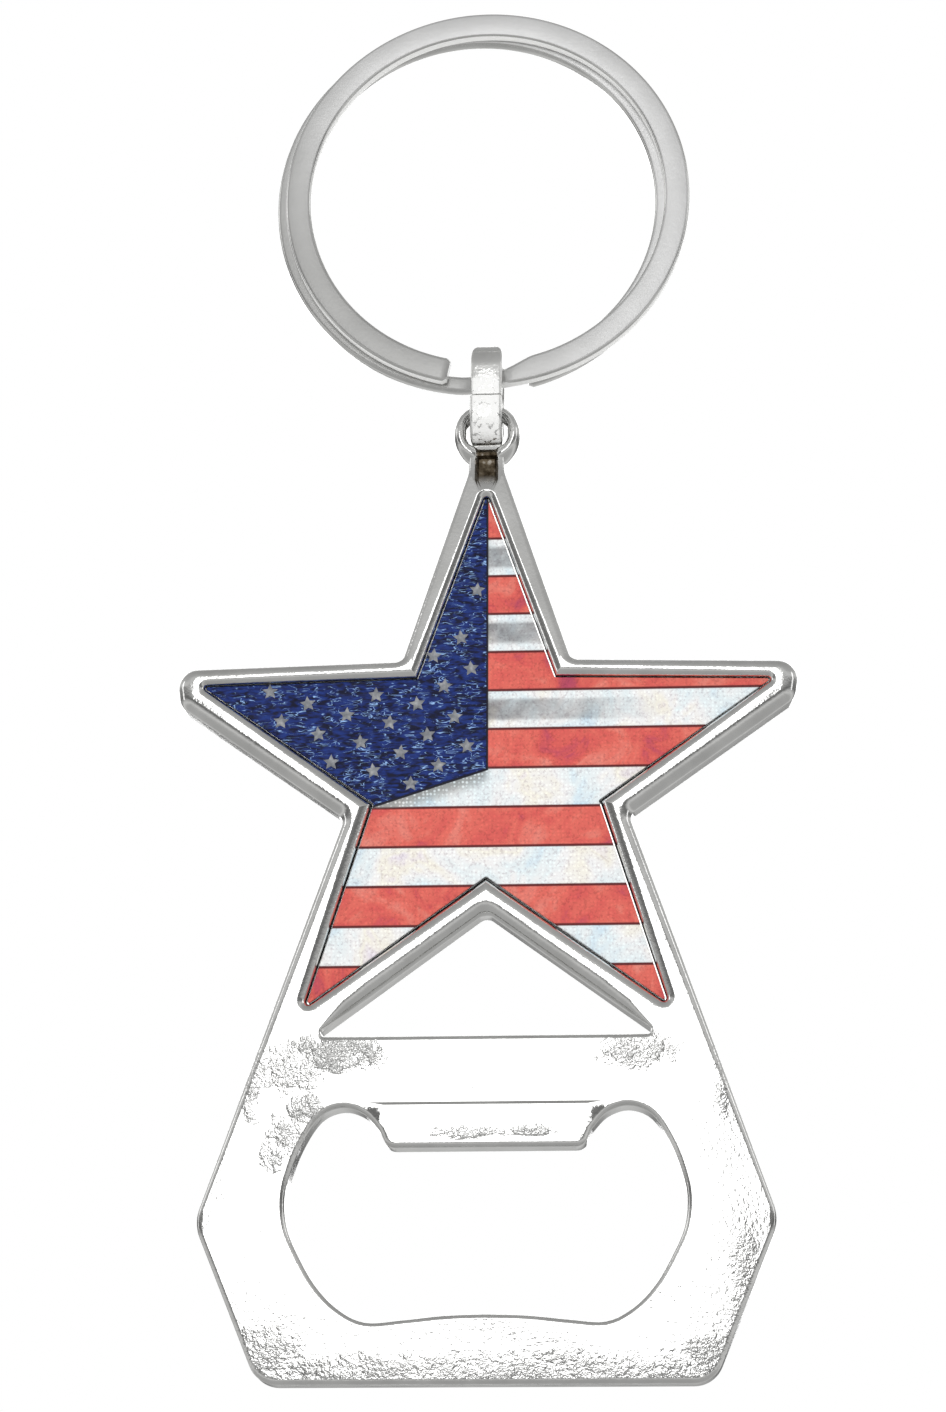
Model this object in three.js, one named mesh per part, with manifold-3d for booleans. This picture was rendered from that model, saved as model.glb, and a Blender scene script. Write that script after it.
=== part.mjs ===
// Keychain bottle opener: a cast star-shaped opener with a printed star insert,
// hung from a split ring by one bent connector link.
// Millimetres, +Z up. X = 0 is the centre plane and the front face looks towards -Y.
// The origin is the point the ring hangs from: the top of its inside edge, mid depth.
import * as THREE from 'three';
import Module from 'manifold-3d';

// ---------- driving dimensions ----------
const BODY_T = 2.8; // casting thickness, front to back
const EDGE_R = 0.5; // rounded edges of the casting
const RECESS_DEPTH = 1.1; // star recess below the front face
const INSERT_GAP = 0.15; // clearance between the insert and the recess wall
const PAD_T = 0.15; // adhesive pad
const PLATE_T = 0.4; // insert backing plate
const FILM_T = 0.1; // printed film on the plate
const PAD_INSET = 0.6; // pad edge inside the insert edge

const EYE_R = 2.6; // outer radius of the eye
const EYE_T = 2.1; // eye thickness, front to back
const EYE_EDGE_R = 0.3;
const EYE_HOLE = { halfWidth: 1.65, top: 1.5, bottom: -1.1, corner: 1.0 };

const STRIP_W = 2.5; // connector link strip width
const STRIP_T = 0.9; // connector link strip thickness
const LOOP_R = 1.4; // inside radius of the link's round ends
const LOOP_LOW = 1.5; // lower loop centre above the eye centre
const LOOP_HIGH = 5.1; // upper loop centre above the eye centre
const SEAM_Z = 2.7; // where the strip's two ends meet, above the eye centre
const SEAM_GAP = 0.12; // gap where the strip's two ends meet

const RING_R = 16; // outer radius of the split ring
const WIRE_W = 2.0; // radial width of the ring wire
const WIRE_T = 1.05; // thickness of one turn of the wire
const TURN_PITCH = 1.15; // front turn centre to back turn centre
const JOG_W = 1.25; // radial width where the wire crosses between turns
const WIRE_Z = 4.6; // wire centre inside the link, above the eye centre
const END_A = -101.5; // angle of the front end of the wire, degrees
const END_B = -75.5; // angle of the back end of the wire, degrees
const RING_Z = WIRE_W - RING_R; // ring centre below the hanging point
const EYE_Z = RING_Z + JOG_W / 2 - RING_R - WIRE_Z; // centre of the opener's eye

// Right half of the casting's outline: x, z from the eye centre, corner radius.
const OUTLINE = [
  [1.33, -1.6, 0], [1.4, -3.3, 2], [6.46, -18.5, 0.8], [23.75, -18.87, 1.4],
  [23.35, -21.7, 1.4], [10.72, -30.7, 0.8], [21.3, -61.2, 3], [16.45, -72.9, 2.2],
];
// Right half of the star insert's outline, top point first.
const STAR = [
  [0, -5.22, 0.12], [5.19, -19.9, 0.15], [21.61, -20.25, 0.12], [8.46, -29.62, 0.15],
  [13.34, -45.05, 0.12], [0, -35.36, 0.15],
];
// Triangular window under the star.
const WINDOW = [[0, -38.1, 0.8], [12.85, -47.5, 0.3]];
// Right half of the cap mouth, from the middle of the tooth round to the lower lip.
const TOOTH = [[0, -55.75, 0], [7.2, -55.75, 0.9]];
const MOUTH = [
  [7.75, -54.5], [8.9, -53.3], [10.5, -52.8], [12.2, -53.5], [13.6, -55.7],
  [14.5, -58.3], [14.67, -60.1], [14.4, -61.8], [13.66, -63.5], [12.39, -65.7],
  [10.73, -67.45], [8.71, -68.45], [6, -68.3], [3, -68.0], [0, -67.9],
];
// Tooth face: a low step down from the bar, then a slope to the tip.
const TOOTH_STEP = { z: -52.45, halfWidth: 8.85, drop: 0.25, tipZ: -56.6, tipDrop: 0.4 };
// Shallow groove down the front of the neck, from the eye.
const GROOVE = { halfWidth: 0.85, top: -0.8, bottom: -4.4, depth: 0.45 };

const CORNER_STEPS = 5;
const MOUTH_STEPS = 26;
const EDGE_STEPS = 3;
const LOOP_STEPS = 14;
const TURN_STEPS = 72;

const manifold = await Module();
manifold.setup();
const { Manifold, Mesh: ManifoldMesh } = manifold;

// ---------- materials ----------
const chrome = (name, roughness) =>
  new THREE.MeshStandardMaterial({ name, color: 0xd6d7d9, metalness: 1, roughness });

// ---------- outline helpers ----------
// Mirror a right half (first and last points may lie on X = 0) into a closed outline.
function mirrored(half) {
  const left = half
    .filter(([x]) => x > 1e-6)
    .map(([x, z, r]) => [-x, z, r])
    .reverse();
  return [...half, ...left];
}

// Turn corner points with radii into a polyline with rounded corners.
function rounded(corners) {
  const points = [];
  corners.forEach(([x, z, r], i) => {
    const here = new THREE.Vector2(x, z);
    if (!r) {
      points.push(here);
      return;
    }
    const [px, pz] = corners[(i - 1 + corners.length) % corners.length];
    const [nx, nz] = corners[(i + 1) % corners.length];
    const back = new THREE.Vector2(px, pz).sub(here).normalize();
    const on = new THREE.Vector2(nx, nz).sub(here).normalize();
    const half = Math.acos(THREE.MathUtils.clamp(back.dot(on), -1, 1)) / 2;
    const reach = r / Math.tan(half);
    const centre = back.clone().add(on).normalize().multiplyScalar(r / Math.sin(half)).add(here);
    const start = here.clone().addScaledVector(back, reach).sub(centre);
    const end = here.clone().addScaledVector(on, reach).sub(centre);
    const from = start.angle();
    let sweep = end.angle() - from;
    if (sweep > Math.PI) sweep -= 2 * Math.PI;
    if (sweep < -Math.PI) sweep += 2 * Math.PI;
    for (let k = 0; k <= CORNER_STEPS; k += 1) {
      const a = from + (sweep * k) / CORNER_STEPS;
      points.push(new THREE.Vector2(centre.x + r * Math.cos(a), centre.y + r * Math.sin(a)));
    }
  });
  return points;
}

// Move every edge of a closed list of corners outwards by a distance.
function grown(corners, distance) {
  const points = corners.map(([x, z]) => new THREE.Vector2(x, z));
  const out = Math.sign(THREE.ShapeUtils.area(points)) * distance;
  return points.map((p, i) => {
    const before = points[(i - 1 + points.length) % points.length];
    const after = points[(i + 1) % points.length];
    const d1 = p.clone().sub(before).normalize();
    const d2 = after.clone().sub(p).normalize();
    const n1 = new THREE.Vector2(d1.y, -d1.x);
    const mitre = n1.clone().add(new THREE.Vector2(d2.y, -d2.x)).normalize();
    const moved = p.clone().addScaledVector(mitre, out / mitre.dot(n1));
    return [moved.x, moved.y, corners[i][2]];
  });
}

// The same closed outline, wound the way asked for.
function wound(points, clockwise) {
  return THREE.ShapeUtils.isClockWise(points) === clockwise ? points : [...points].reverse();
}

// Extrude an outline (x, z from the eye centre) between two depths, optionally with
// rounded edges that keep the outline's full size at mid thickness.
function slab(outline, yFront, yBack, edge = 0, holes = []) {
  const shape = new THREE.Shape(wound(outline, false));
  shape.holes = holes.map((hole) => new THREE.Path(wound(hole, true)));
  const geometry = new THREE.ExtrudeGeometry(shape, {
    depth: yBack - yFront - 2 * edge,
    bevelEnabled: edge > 0,
    bevelSize: edge,
    bevelThickness: edge,
    bevelOffset: -edge,
    bevelSegments: EDGE_STEPS,
    curveSegments: 1,
  });
  geometry.translate(0, 0, edge - yBack);
  geometry.rotateX(Math.PI / 2);
  geometry.translate(0, 0, EYE_Z);
  return geometry;
}

// ---------- solid helpers ----------
function toSolid(geometry) {
  const position = geometry.getAttribute('position');
  const index = new Map();
  const vertices = [];
  const triangles = [];
  const source = geometry.index;
  const count = source ? source.count : position.count;
  for (let i = 0; i < count; i += 3) {
    const face = [0, 1, 2].map((k) => {
      const v = source ? source.getX(i + k) : i + k;
      const xyz = [position.getX(v), position.getY(v), position.getZ(v)];
      const key = xyz.map((c) => Math.round(c * 1e5)).join();
      if (!index.has(key)) {
        index.set(key, vertices.length / 3);
        vertices.push(...xyz);
      }
      return index.get(key);
    });
    if (new Set(face).size === 3) triangles.push(...face);
  }
  return new Manifold(new ManifoldMesh({
    numProp: 3,
    vertProperties: Float32Array.from(vertices),
    triVerts: Uint32Array.from(triangles),
  }));
}

function toGeometry(solid) {
  const mesh = solid.getMesh();
  const geometry = new THREE.BufferGeometry();
  geometry.setAttribute('position', new THREE.BufferAttribute(mesh.vertProperties, 3));
  geometry.setIndex(new THREE.BufferAttribute(mesh.triVerts, 1));
  const flat = geometry.toNonIndexed();
  flat.computeVertexNormals();
  return flat;
}

function named(name, geometry, material) {
  const mesh = new THREE.Mesh(geometry, material);
  mesh.name = name;
  return mesh;
}

// A closed band swept through cross-sections: each section is a list of points.
function swept(sections, closed) {
  const size = sections[0].length;
  const vertices = sections.flat().flatMap((p) => [p.x, p.y, p.z]);
  const triangles = [];
  const last = closed ? sections.length : sections.length - 1;
  for (let i = 0; i < last; i += 1) {
    const a = i * size;
    const b = ((i + 1) % sections.length) * size;
    for (let k = 0; k < size; k += 1) {
      const n = (k + 1) % size;
      triangles.push(a + k, b + k, b + n, a + k, b + n, a + n);
    }
  }
  if (!closed) {
    const end = (sections.length - 1) * size;
    for (let k = 1; k < size - 1; k += 1) {
      triangles.push(0, k, k + 1);
      triangles.push(end, end + k + 1, end + k);
    }
  }
  const geometry = new THREE.BufferGeometry();
  geometry.setAttribute('position', new THREE.Float32BufferAttribute(vertices, 3));
  geometry.setIndex(triangles);
  const flat = geometry.toNonIndexed();
  flat.computeVertexNormals();
  return flat;
}

// ---------- opener body ----------
const FRONT = -BODY_T / 2;
const BACK = BODY_T / 2;
const starCorners = mirrored(STAR);
const starOutline = rounded(starCorners);

function mouthOutline() {
  const curve = new THREE.SplineCurve(MOUTH.map(([x, z]) => new THREE.Vector2(x, z)));
  const side = curve.getPoints(MOUTH_STEPS);
  const tooth = rounded([...TOOTH, [MOUTH[0][0], MOUTH[0][1], 0]]).slice(0, -1);
  const half = [...tooth, ...side].map((p) => [p.x, p.y]);
  return mirrored(half).map(([x, z]) => new THREE.Vector2(x, z));
}

function toothRelief() {
  const { z, drop, tipZ, tipDrop } = TOOTH_STEP;
  const profile = new THREE.Shape([
    new THREE.Vector2(FRONT - 1, z),
    new THREE.Vector2(FRONT + drop, z),
    new THREE.Vector2(FRONT + tipDrop, tipZ),
    new THREE.Vector2(FRONT - 1, tipZ),
  ]);
  const width = 2 * TOOTH_STEP.halfWidth;
  const geometry = new THREE.ExtrudeGeometry(profile, { depth: width, bevelEnabled: false });
  geometry.translate(0, 0, -width / 2);
  // profile x -> Y, profile y -> Z, extrusion -> X
  geometry.applyMatrix4(new THREE.Matrix4().makeBasis(
    new THREE.Vector3(0, 1, 0), new THREE.Vector3(0, 0, 1), new THREE.Vector3(1, 0, 0),
  ));
  geometry.translate(0, 0, EYE_Z);
  return toSolid(geometry);
}

function neckGroove() {
  const { halfWidth: w, top, bottom, depth } = GROOVE;
  const outline = [[w, top, 0], [w, bottom, 0.6]];
  return toSolid(slab(rounded(mirrored(outline)), FRONT - 1, -EYE_T / 2 + depth));
}

function eye() {
  const rim = new THREE.Path().absarc(0, 0, EYE_R, 0, 2 * Math.PI).getPoints(9 * CORNER_STEPS);
  rim.pop();
  const { halfWidth: w, top, bottom, corner } = EYE_HOLE;
  const hole = rounded([[w, top, corner], [w, bottom, corner], [-w, bottom, corner], [-w, top, corner]]);
  return toSolid(slab(rim, -EYE_T / 2, EYE_T / 2, EYE_EDGE_R, [hole]));
}

function eyeClearance() {
  const { halfWidth: w, top, bottom, corner } = EYE_HOLE;
  const hole = rounded([[w, top, corner], [w, bottom, corner], [-w, bottom, corner], [-w, top, corner]]);
  return toSolid(slab(hole, FRONT - 1, BACK + 1));
}

function openerBody() {
  const holes = [rounded(mirrored(WINDOW)), mouthOutline()];
  const plate = toSolid(slab(rounded(mirrored(OUTLINE)), FRONT, BACK, EDGE_R, holes));
  const recessOutline = rounded(grown(starCorners, INSERT_GAP));
  const recess = toSolid(slab(recessOutline, FRONT - 1, FRONT + RECESS_DEPTH));
  const solid = Manifold.union([plate, eye()]);
  return Manifold.difference([solid, eyeClearance(), recess, toothRelief(), neckGroove()]);
}

// ---------- star insert ----------
const padFront = FRONT + RECESS_DEPTH - PAD_T;
const plateFront = padFront - PLATE_T;
const filmFront = plateFront - FILM_T;
const padOutline = rounded(grown(starCorners, -PAD_INSET));

// ---------- connector link ----------
// A strip bent into an oblong round the eye and the ring, its ends meeting at the front.
function connectorLink() {
  const path = [[-1, 0, SEAM_Z - SEAM_GAP / 2]];
  for (let k = 0; k <= LOOP_STEPS; k += 1) {
    const a = Math.PI + (Math.PI * k) / LOOP_STEPS;
    path.push([Math.cos(a), Math.sin(a), LOOP_LOW]);
  }
  for (let k = 0; k <= LOOP_STEPS; k += 1) {
    const a = (Math.PI * k) / LOOP_STEPS;
    path.push([Math.cos(a), Math.sin(a), LOOP_HIGH]);
  }
  path.push([-1, 0, SEAM_Z + SEAM_GAP / 2]);
  const corner = 0.2;
  const w = STRIP_W / 2;
  const profile = [
    [corner - w, 0], [-w, corner], [-w, STRIP_T - corner], [corner - w, STRIP_T],
    [w - corner, STRIP_T], [w, STRIP_T - corner], [w, corner], [w - corner, 0],
  ];
  const sections = path.map(([ny, nz, z]) =>
    profile.map(([x, t]) => new THREE.Vector3(x, (LOOP_R + t) * ny, EYE_Z + z + (LOOP_R + t) * nz)));
  return swept(sections, false);
}

// ---------- split ring ----------
// One flat wire wound twice; near the link it narrows and crosses from the front turn
// to the back turn between the two ends.
function splitRing() {
  const jogStart = END_B - 5;
  const jogEnd = END_A + 5;
  const narrow = 13;
  const total = 360 + (360 - (END_B - END_A));
  const steps = Math.round((total / 360) * TURN_STEPS);
  const sections = [];
  for (let k = 0; k <= steps; k += 1) {
    const turn = (total * k) / steps;
    const angle = END_A - turn; // clockwise from the front end
    const crossing = angle + 360; // angle counted on the first turn's return to the link
    const y = THREE.MathUtils.smootherstep(jogStart - crossing, 0, jogStart - jogEnd);
    const into = THREE.MathUtils.smoothstep(END_B + narrow - crossing, 0, narrow);
    const leave = THREE.MathUtils.smoothstep(END_A - crossing, 0, 4);
    const width = WIRE_W - (WIRE_W - JOG_W) * into * (1 - leave);
    const a = THREE.MathUtils.degToRad(angle);
    const depth = (y - 0.5) * TURN_PITCH;
    sections.push(wireSection(width).map(([r, t]) => {
      const radius = RING_R - width / 2 + r;
      return new THREE.Vector3(radius * Math.cos(a), depth + t, RING_Z + radius * Math.sin(a));
    }));
  }
  return swept(sections, false);
}

// Flat wire section with rounded edges: radial and depth offsets from its centre.
function wireSection(width) {
  const corner = 0.3;
  const w = width / 2;
  const t = WIRE_T / 2;
  return [
    [w - corner, -t], [w - 0.09, -t + 0.09], [w, -t + corner],
    [w, t - corner], [w - 0.09, t - 0.09], [w - corner, t],
    [corner - w, t], [0.09 - w, t - 0.09], [-w, t - corner],
    [-w, corner - t], [0.09 - w, 0.09 - t], [corner - w, -t],
  ];
}

// ---------- assembly ----------
const keychain = new THREE.Group();
keychain.name = 'keychain_bottle_opener';
keychain.add(
  named('opener_body', toGeometry(openerBody()), chrome('plated_zinc', 0.16)),
  named('insert_adhesive', slab(padOutline, padFront, padFront + PAD_T),
    new THREE.MeshStandardMaterial({ name: 'adhesive', color: 0xd9d2bd, roughness: 0.7 })),
  named('insert_plate', slab(starOutline, plateFront, padFront),
    new THREE.MeshStandardMaterial({ name: 'aluminium', color: 0xbfc2c6, metalness: 1, roughness: 0.4 })),
  named('insert_film', slab(starOutline, filmFront, plateFront),
    new THREE.MeshStandardMaterial({ name: 'printed_film', color: 0xb5372f, roughness: 0.35 })),
  named('connector_link', connectorLink(), chrome('plated_steel_strip', 0.2)),
  named('split_ring', splitRing(), chrome('plated_spring_steel', 0.18)),
);

export default keychain;
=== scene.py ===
"""Looks of the keychain bottle opener: a plated casting with a printed star insert,
a bent connector link and a split ring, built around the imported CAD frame."""

import math

import bmesh
import bpy
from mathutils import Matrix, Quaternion, Vector
from mathutils.geometry import delaunay_2d_cdt


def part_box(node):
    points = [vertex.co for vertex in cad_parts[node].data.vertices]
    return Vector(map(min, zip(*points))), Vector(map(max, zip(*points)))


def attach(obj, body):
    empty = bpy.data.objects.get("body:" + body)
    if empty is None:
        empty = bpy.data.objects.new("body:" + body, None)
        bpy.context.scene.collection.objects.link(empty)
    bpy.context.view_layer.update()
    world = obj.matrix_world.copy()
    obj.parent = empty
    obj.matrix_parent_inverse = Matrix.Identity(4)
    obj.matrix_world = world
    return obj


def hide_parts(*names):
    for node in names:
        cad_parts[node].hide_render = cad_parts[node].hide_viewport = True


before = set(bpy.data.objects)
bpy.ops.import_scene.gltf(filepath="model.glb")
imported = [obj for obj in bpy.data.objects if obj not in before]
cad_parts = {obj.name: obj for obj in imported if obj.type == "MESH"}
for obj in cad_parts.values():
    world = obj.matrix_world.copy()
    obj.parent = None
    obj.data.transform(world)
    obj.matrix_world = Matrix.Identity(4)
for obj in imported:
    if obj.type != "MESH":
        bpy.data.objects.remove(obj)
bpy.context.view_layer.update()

MM = 0.001
BODY_LOW, BODY_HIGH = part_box("opener_body")
FOOT_BELOW_EYE = 72.9
EYE_Z = BODY_LOW.z / MM + FOOT_BELOW_EYE  # eye centre, mm above the row's origin
FRONT = BODY_LOW.y / MM
BACK = BODY_HIGH.y / MM

# Right half of the casting's outline: x, z from the eye centre, corner radius, in mm.
OUTLINE = [
    (1.33, -1.45, 0.1), (1.4, -3.3, 2.0), (6.46, -18.5, 0.8), (23.75, -18.87, 1.4),
    (23.35, -21.7, 1.4), (10.72, -30.7, 0.8), (21.3, -61.2, 3.0), (16.45, -72.9, 2.2),
]
STAR = [
    (0, -5.22, 0.12), (5.19, -19.9, 0.15), (21.61, -20.25, 0.12), (8.46, -29.62, 0.15),
    (13.34, -45.05, 0.12), (0, -35.36, 0.15),
]
WINDOW = [(0, -38.1, 0.8), (12.85, -47.5, 0.3)]
TOOTH_CORNER = (7.2, -55.75, 0.9)
MOUTH = [
    (7.75, -54.5), (8.9, -53.3), (10.5, -52.8), (12.2, -53.5), (13.6, -55.7),
    (14.5, -58.3), (14.67, -60.1), (14.4, -61.8), (13.66, -63.5), (12.39, -65.7),
    (10.73, -67.45), (8.71, -68.45), (6.0, -68.3), (3.0, -68.0), (0, -67.9),
]
PLATE_EDGE = 0.55  # rounding of the front edges away from the star
BAR_EDGE = 0.38  # rounding at the neck and along the window's foot
RIM_SHARE = 0.46  # rounding of the star's outer edge, as a share of its rim's width
RECESS_SHARE = 0.34  # the same for the edge of the recess
CORNER_REACH = 4.5  # how far the window's lower corners thin the edge beside them
BACK_EDGE = 0.45  # rounding of the back edges
RECESS_GAP = 0.1
RECESS_DEPTH = 1.1
STEP_Z, STEP_HALF, STEP_DROP, TOOTH_SLOPE = -52.45, 8.85, 0.25, 0.015
STEP_FOOT, STEP_SOFT, STEP_RUN_OUT = -57.5, 0.16, 1.2
GROOVE_HALF, GROOVE_TOP, GROOVE_FOOT, GROOVE_DEPTH = 0.9, -0.8, -4.5, 0.4
EYE_R, HOLE_HALF, HOLE_TOP, HOLE_FOOT = 2.6, 1.6, 1.5, -1.0
EYE_HALF_T, EYE_BULGE = 0.9, 0.28  # half thickness at top and foot, and what the sides add

RING_R, WIRE_W, WIRE_T, TURN_PITCH, JOG_W = 16.0, 2.0, 1.05, 1.15, 1.25
RING_Z = WIRE_W - RING_R
END_A, END_B = -101.5, -75.5
SLIP = (-0.75, -0.12)  # how far the back turn has slid from behind the front turn
STRIP_W, STRIP_T, LOOP_R = 2.5, 0.9, 1.4
LOOP_LOW, LOOP_HIGH, SEAM_Z, SEAM_GAP = 1.5, 5.1, 2.7, 0.12


def smooth(a, b, x):
    """0 at a, 1 at b, eased between; a may be the larger."""
    t = min(max((x - a) / (b - a), 0.0), 1.0)
    return t * t * (3 - 2 * t)


# ---------------------------------------------------------------- outlines
def cross(a, b):
    """Above 0 where b is turned anticlockwise from a."""
    return a[0] * b[1] - a[1] * b[0]


def area(points):
    """Signed area, above 0 for an anticlockwise outline."""
    return sum(cross(p, q) for p, q in zip(points, points[1:] + points[:1])) / 2


def mirrored(half):
    """A right half, closed by its mirror image and wound anticlockwise."""
    whole = list(half) + [(-p[0], *p[1:]) for p in reversed(half) if p[0] > 1e-6]
    return whole if area([p[:2] for p in whole]) > 0 else whole[::-1]


def grown(corners, distance):
    """Corners of the outline a distance further out, with their radii to match."""
    result = []
    count = len(corners)
    for i, (x, z, r) in enumerate(corners):
        here = Vector((x, z))
        d1 = (here - Vector(corners[i - 1][:2])).normalized()
        d2 = (Vector(corners[(i + 1) % count][:2]) - here).normalized()
        n1 = Vector((d1.y, -d1.x))
        mitre = (n1 + Vector((d2.y, -d2.x))).normalized()
        moved = here + mitre * (distance / mitre.dot(n1))
        radius = r + distance if cross(d1, d2) > 0 else r - distance
        result.append((moved.x, moved.y, max(radius, 0.05)))
    return result


def rounded(corners, steps=9):
    """Corners turned into arcs, always with the same number of points."""
    points = []
    count = len(corners)
    for i, (x, z, r) in enumerate(corners):
        here = Vector((x, z))
        back = (Vector(corners[i - 1][:2]) - here).normalized()
        on = (Vector(corners[(i + 1) % count][:2]) - here).normalized()
        half = math.acos(max(-1.0, min(1.0, back.dot(on)))) / 2
        centre = here + (back + on).normalized() * (r / math.sin(half))
        reach = r / math.tan(half)
        start = here + back * reach - centre
        end = here + on * reach - centre
        sweep = math.atan2(cross(start, end), start.dot(end))
        first = math.atan2(start.y, start.x)
        for k in range(steps + 1):
            a = first + sweep * k / steps
            points.append((centre.x + r * math.cos(a), centre.y + r * math.sin(a)))
    return points


LONG_SIDE = 3.0


def divided(points):
    """Splits each long straight side of a loop into six."""
    loop = []
    for p, q in zip(points, points[1:] + points[:1]):
        loop.append(p)
        if math.dist(p, q) > LONG_SIDE:
            loop += [tuple(Vector(p).lerp(Vector(q), k / 6)) for k in range(1, 6)]
    return loop


def catmull(points, per_span):
    """A smooth curve through the points."""
    ends = [points[0]] + list(points) + [points[-1]]
    curve = []
    for i in range(1, len(ends) - 2):
        p0, p1, p2, p3 = (Vector(p) for p in ends[i - 1:i + 3])
        for k in range(per_span):
            t = k / per_span
            q = 0.5 * (2 * p1 + (p2 - p0) * t + (2 * p0 - 5 * p1 + 4 * p2 - p3) * t * t
                       + (3 * p1 - p0 - 3 * p2 + p3) * t ** 3)
            curve.append((q.x, q.y))
    curve.append(tuple(points[-1]))
    return curve


def mouth_line():
    """The mouth's outline: the tooth's flat edge with round corners, then the lobes."""
    x, z, r = TOOTH_CORNER
    tooth = rounded([(0, z, 0.05), (x, z, r), (*MOUTH[0], 0.05)], 10)[11:22]
    half = [(0, z)] + tooth + catmull(MOUTH, 5)
    return mirrored(half)


def pushed(points, distance):
    """A dense anticlockwise outline moved outwards along its own normals."""
    result = []
    count = len(points)
    for i, p in enumerate(points):
        here = Vector(p)
        d1 = (here - Vector(points[i - 1])).normalized()
        d2 = (Vector(points[(i + 1) % count]) - here).normalized()
        n1 = Vector((d1.y, -d1.x))
        mitre = (n1 + Vector((d2.y, -d2.x))).normalized()
        q = here + mitre * (distance / max(mitre.dot(n1), 0.5))
        result.append((q.x, q.y))
    return result


def inside(point, polygon):
    """Whether a point lies inside a closed outline."""
    x, z = point
    odd = False
    for (x1, z1), (x2, z2) in zip(polygon, polygon[1:] + polygon[:1]):
        if (z1 > z) != (z2 > z) and x < (x2 - x1) * (z - z1) / (z2 - z1) + x1:
            odd = not odd
    return odd


def distance_to(point, polygon):
    """Distance from a point to the nearest side of a closed outline."""
    here = Vector(point)
    nearest = 1e9
    for p, q in zip(polygon, polygon[1:] + polygon[:1]):
        start, side = Vector(p), Vector(q) - Vector(p)
        t = max(0.0, min(1.0, (here - start).dot(side) / max(side.length_squared, 1e-9)))
        nearest = min(nearest, (here - start - side * t).length)
    return nearest


def evenly(points, count):
    """The same closed outline with evenly spaced points."""
    loop = [Vector(p) for p in points] + [Vector(points[0])]
    lengths = [(q - p).length for p, q in zip(loop, loop[1:])]
    result, i, passed = [], 0, 0.0
    for k in range(count):
        wanted = sum(lengths) * k / count
        while passed + lengths[i] < wanted:
            passed += lengths[i]
            i += 1
        p = loop[i].lerp(loop[i + 1], (wanted - passed) / lengths[i])
        result.append((p.x, p.y))
    return result


# ---------------------------------------------------------------- meshes
class Skin:
    """A mesh in the row frame whose points are given in mm, z from the eye centre."""

    def __init__(self):
        self.bm = bmesh.new()

    def point(self, x, y, z):
        return self.bm.verts.new((x * MM, y * MM, (z + EYE_Z) * MM))

    def bridge(self, a, b, closed=True):
        """Joins two rows of points with four-sided faces."""
        count = len(a)
        for i in range(count if closed else count - 1):
            j = (i + 1) % count
            self.bm.faces.new((a[i], a[j], b[j], b[i]))

    def fill(self, loops, make, extra=(), lines=()):
        """Triangles between the first loop and the others. A loop is (points, verts)."""
        points, verts, edges = [], [], []
        for loop, loop_verts in loops:
            first = len(points)
            points += [Vector(p) for p in loop]
            verts += loop_verts
            edges += [(first + i, first + (i + 1) % len(loop)) for i in range(len(loop))]
        for line in lines:
            first = len(points)
            points += [Vector(p) for p in line]
            edges += [(first + i, first + i + 1) for i in range(len(line) - 1)]
        points += [Vector(p) for p in extra]
        out, _, faces, origin, _, _ = delaunay_2d_cdt(points, edges, [], 0, 1e-5)
        made = {}
        for face in faces:
            centre = sum((out[i] for i in face), Vector((0, 0))) / len(face)
            if not inside(centre, loops[0][0]):
                continue
            if any(inside(centre, loop) for loop, _ in loops[1:]):
                continue
            corner = []
            for i in face:
                if i not in made:
                    own = [k for k in origin[i] if k < len(verts)]
                    made[i] = verts[own[0]] if own else make(out[i].x, out[i].y)
                corner.append(made[i])
            if len(set(corner)) == len(corner):
                self.bm.faces.new(corner)

    def finish(self, name, body, material, sharp=38.0, weighted=True):
        """Makes the object, with edges over sharp degrees kept hard, and sets its body."""
        bmesh.ops.recalc_face_normals(self.bm, faces=self.bm.faces)
        for face in self.bm.faces:
            face.smooth = True
        for edge in self.bm.edges:
            if len(edge.link_faces) == 2 and edge.calc_face_angle(0) > math.radians(sharp):
                edge.smooth = False
        mesh = bpy.data.meshes.new(name)
        self.bm.to_mesh(mesh)
        self.bm.free()
        mesh.materials.append(material)
        obj = bpy.data.objects.new(name, mesh)
        bpy.context.scene.collection.objects.link(obj)
        if weighted:
            modifier = obj.modifiers.new("normals", "WEIGHTED_NORMAL")
            modifier.keep_sharp = True
            modifier.weight = 100
        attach(obj, body)
        return obj


# ---------------------------------------------------------------- casting
def taper(z):
    """The neck thins towards the eye."""
    return 1 - 0.36 * smooth(-5.2, -2.2, z)


def front_drop(x, z):
    """How far the front face is set back at a point: the tooth's face and the groove."""
    drop = 0.0
    if STEP_FOOT < z < STEP_Z:
        depth = STEP_DROP * smooth(0, STEP_SOFT, STEP_Z - z) + TOOTH_SLOPE * (STEP_Z - z)
        drop += depth * smooth(0, STEP_RUN_OUT, STEP_HALF - abs(x))
    across = smooth(0, 0.3, GROOVE_HALF - abs(x))
    along = smooth(0, 0.5, z - GROOVE_FOOT) if z < GROOVE_TOP else 1.0
    return drop + GROOVE_DEPTH * across * along


def cast_y(x, z, y):
    """y of the casting's surface, from the y it would have if it were flat."""
    front = max(0.0, y / FRONT)
    return y * taper(z) + front_drop(x, z) * front


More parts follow.
